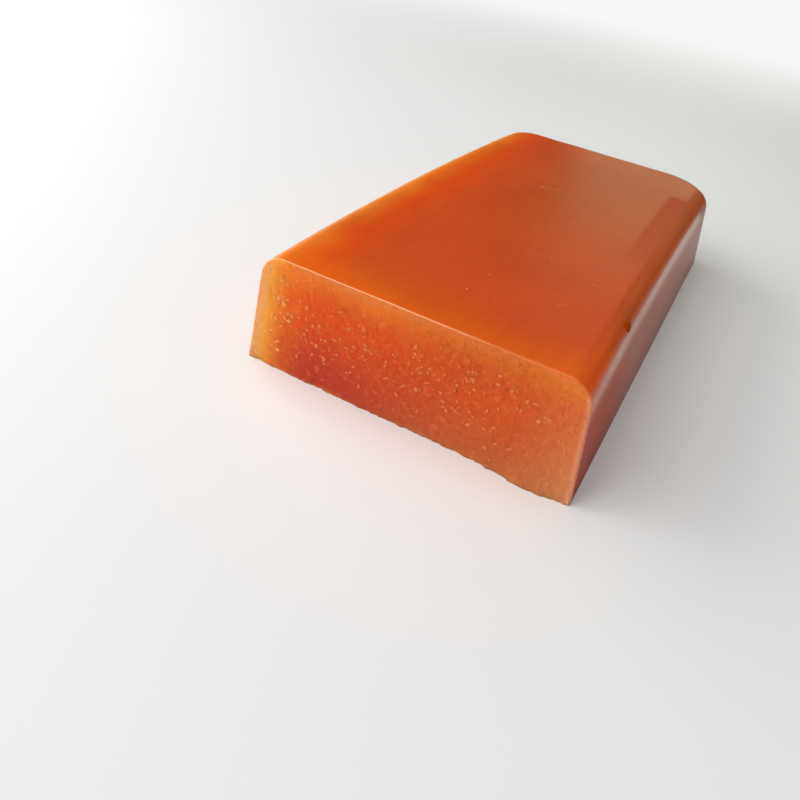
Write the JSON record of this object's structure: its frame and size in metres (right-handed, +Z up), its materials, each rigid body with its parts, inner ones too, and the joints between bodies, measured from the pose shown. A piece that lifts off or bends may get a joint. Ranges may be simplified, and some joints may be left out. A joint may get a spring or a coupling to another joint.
{
  "type": "guava paste bar",
  "caption": "Bar of firm guava paste with tapered sides and rounded top edges, sliced off flat at its near end and lying on its wide base.",
  "frame": {"origin": "middle of the bounding rectangle of the base, on the surface the bar lies on", "axes": "+X along the cut end to its right, +Y from the cut end to the far end, +Z up"},
  "size_m": [0.0804, 0.1514, 0.027],
  "materials": {
    "guava_paste": "moist, slightly translucent red-orange fruit paste, smooth and glossy where it met its mould, grainy with pale flecks where it was cut"
  },
  "bodies": {
    "root": {"guava_paste": "guava_paste"}
  },
  "joints": []
}
